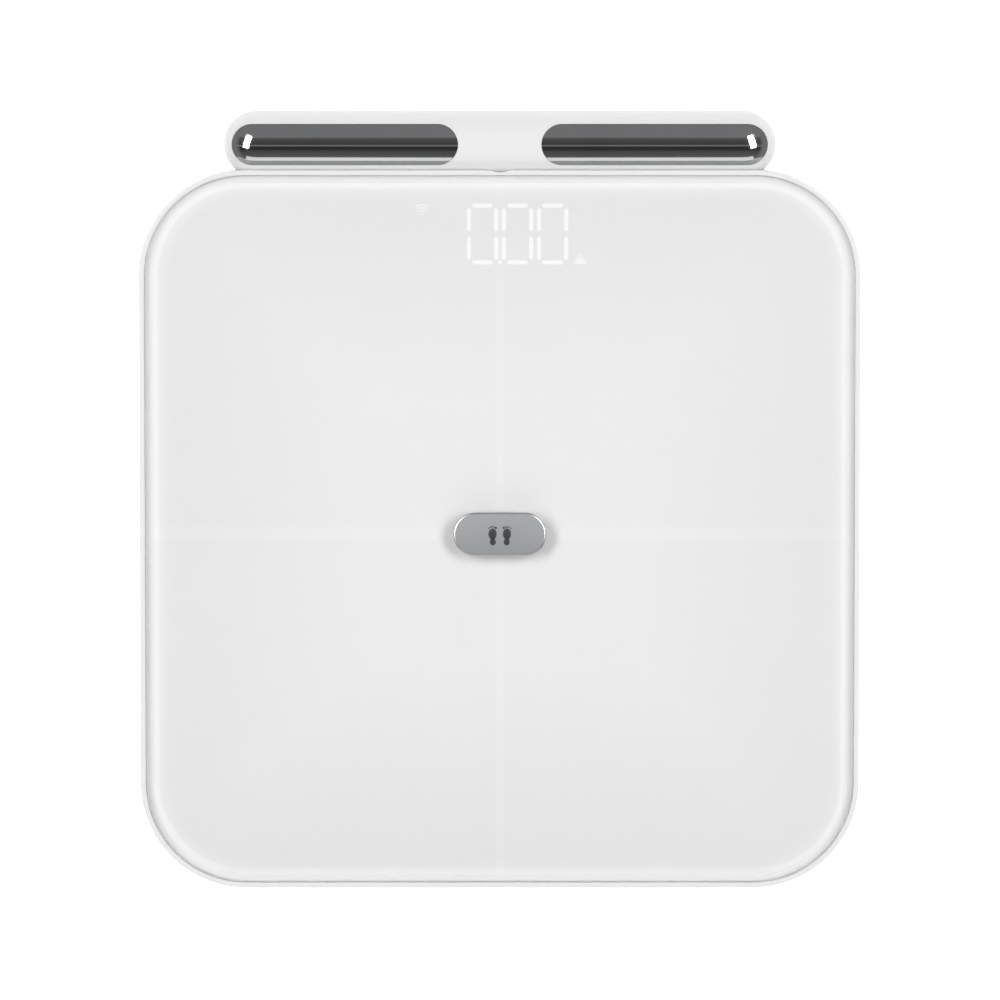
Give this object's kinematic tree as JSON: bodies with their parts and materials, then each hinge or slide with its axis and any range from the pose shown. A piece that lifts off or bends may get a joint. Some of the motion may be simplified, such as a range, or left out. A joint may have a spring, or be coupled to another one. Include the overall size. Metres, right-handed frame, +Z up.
{
  "type": "digital bathroom scale",
  "caption": "Square glass body-composition bathroom scale with a hidden lit display, an oval centre badge and a round-ended electrode grip docked along its rear edge.",
  "frame": {"origin": "bottom centre of the whole object's bounding box, on the plane of the foot pads", "axes": "+Z up, +Y from the user's heels towards the toes and the docked grip, +X to the user's right"},
  "size_m": [0.3, 0.3244, 0.0322],
  "materials": {
    "glass": "tempered, polished bevel, clear conductive coating in four quarters",
    "white_film": "opaque white printed film",
    "foam_tape": "double-sided acrylic foam",
    "white_gloss_abs": "glossy white ABS",
    "white_matte_abs": "fine spark-textured white ABS",
    "satin_badge": "bead-blasted face, polished edge",
    "natural_nylon": "moulded nylon",
    "phosphor_bronze": "spring strip",
    "foot_rubber": "grey moulded rubber",
    "cell_steel": "stamped nickel-plated spring steel",
    "white_silicone": "cured silicone",
    "circuit_board": "glass-epoxy board with green solder mask",
    "chip_black": "moulded epoxy packages",
    "tin_can": "tin-plated steel",
    "button_grey": "grey ABS",
    "light_bar": "white diffusing epoxy over lamps",
    "reflector_white": "white reflector plastic",
    "tray_black": "black ABS",
    "cell_wrap": "printed sleeve on steel can",
    "nickel_spring": "nickel-plated spring wire and strip",
    "reel_plastic": "acetal",
    "axle_steel": "ground steel",
    "blue_spring_steel": "tempered spring strip",
    "chrome": "mirror-polished stainless steel",
    "zinc_screw": "zinc-plated steel",
    "wire_grey": "PVC-insulated bundles",
    "lead_red": "PVC-insulated lead"
  },
  "bodies": {
    "platform": {"backing_film": "white_film", "badge_seal": "foam_tape", "battery_cells": "cell_wrap", "battery_leads": "lead_red", "battery_plates": "nickel_spring", "battery_springs": "nickel_spring", "battery_tray": "tray_black", "board_chips": "chip_black", "board_connectors": "natural_nylon", "bottom_cover": "white_matte_abs", "center_badge": "satin_badge", "contact_block": "natural_nylon", "contact_tabs": "phosphor_bronze", "cover_screws": "zinc_screw", "display_board": "circuit_board", "display_light_box": "reflector_white", "display_segments": "light_bar", "dock_magnets": "axle_steel", "gauge_coatings": "white_silicone", "glass_platform": "glass", "glass_tape": "foam_tape", "inner_screws": "zinc_screw", "load_cell_front_left": "cell_steel", "load_cell_front_right": "cell_steel", "load_cell_rear_left": "cell_steel", "load_cell_rear_right": "cell_steel", "main_board": "circuit_board", "platform_frame": "white_gloss_abs", "radio_shield": "tin_can", "reel_axle": "axle_steel", "reel_brushes": "phosphor_bronze", "reel_housing": "reel_plastic", "reel_lid": "reel_plastic", "reel_spring": "blue_spring_steel", "sensor_wires": "wire_grey", "signal_wires": "wire_grey", "tether_eyelet": "natural_nylon", "unit_switch": "chip_black"},
    "grip": {"grip_upper_shell": "white_gloss_abs", "grip_lower_shell": "white_gloss_abs", "grip_electrode_upper_left": "chrome", "grip_electrode_upper_right": "chrome", "grip_electrode_lower_left": "chrome", "grip_electrode_lower_right": "chrome", "grip_board": "circuit_board", "grip_keepers": "axle_steel", "tether_gland": "natural_nylon"},
    "reel": {"reel_drum": "reel_plastic", "slip_ring_disc": "circuit_board"},
    "battery_door": {"battery_door": "white_matte_abs"},
    "unit_button": {"unit_button": "button_grey"},
    "foot_front_left": {"foot_cap_front_left": "white_matte_abs", "foot_pad_front_left": "foot_rubber"},
    "foot_front_right": {"foot_cap_front_right": "white_matte_abs", "foot_pad_front_right": "foot_rubber"},
    "foot_rear_left": {"foot_cap_rear_left": "white_matte_abs", "foot_pad_rear_left": "foot_rubber"},
    "foot_rear_right": {"foot_cap_rear_right": "white_matte_abs", "foot_pad_rear_right": "foot_rubber"}
  },
  "joints": [
    {"name": "grip_lift", "type": "slide", "parent": "platform", "child": "grip", "axis": [0, 0.7071, 0.7071], "range_m": [0, 0.12]},
    {"name": "reel_spin", "type": "hinge", "parent": "platform", "child": "reel", "pos_m": [0.0165, 0.05575, 0.01], "axis": [0, 0, 1], "range_deg": [-420, 0]},
    {"name": "battery_door_swing", "type": "hinge", "parent": "platform", "child": "battery_door", "pos_m": [0, -0.04085, 0.0061], "axis": [1, 0, 0], "range_deg": [0, 75]},
    {"name": "unit_button_press", "type": "slide", "parent": "platform", "child": "unit_button", "axis": [0, 0, 1], "range_m": [0, 0.0008], "stiffness_N_per_m": 2000, "springref_m": -0.0002},
    {"name": "foot_front_left_press", "type": "slide", "parent": "platform", "child": "foot_front_left", "axis": [0, 0, 1], "range_m": [0, 0.0005], "stiffness_N_per_m": 1000, "springref_m": -0.008, "deforming": ["load_cell_front_left"]},
    {"name": "foot_front_right_press", "type": "slide", "parent": "platform", "child": "foot_front_right", "axis": [0, 0, 1], "range_m": [0, 0.0005], "stiffness_N_per_m": 1000, "springref_m": -0.008, "deforming": ["load_cell_front_right"]},
    {"name": "foot_rear_left_press", "type": "slide", "parent": "platform", "child": "foot_rear_left", "axis": [0, 0, 1], "range_m": [0, 0.0005], "stiffness_N_per_m": 1000, "springref_m": -0.008, "deforming": ["load_cell_rear_left"]},
    {"name": "foot_rear_right_press", "type": "slide", "parent": "platform", "child": "foot_rear_right", "axis": [0, 0, 1], "range_m": [0, 0.0005], "stiffness_N_per_m": 1000, "springref_m": -0.008, "deforming": ["load_cell_rear_right"]}
  ],
  "couplings": [
    {"joint": "reel_spin", "follows": "grip_lift", "rad_per_m": -60.606}
  ]
}
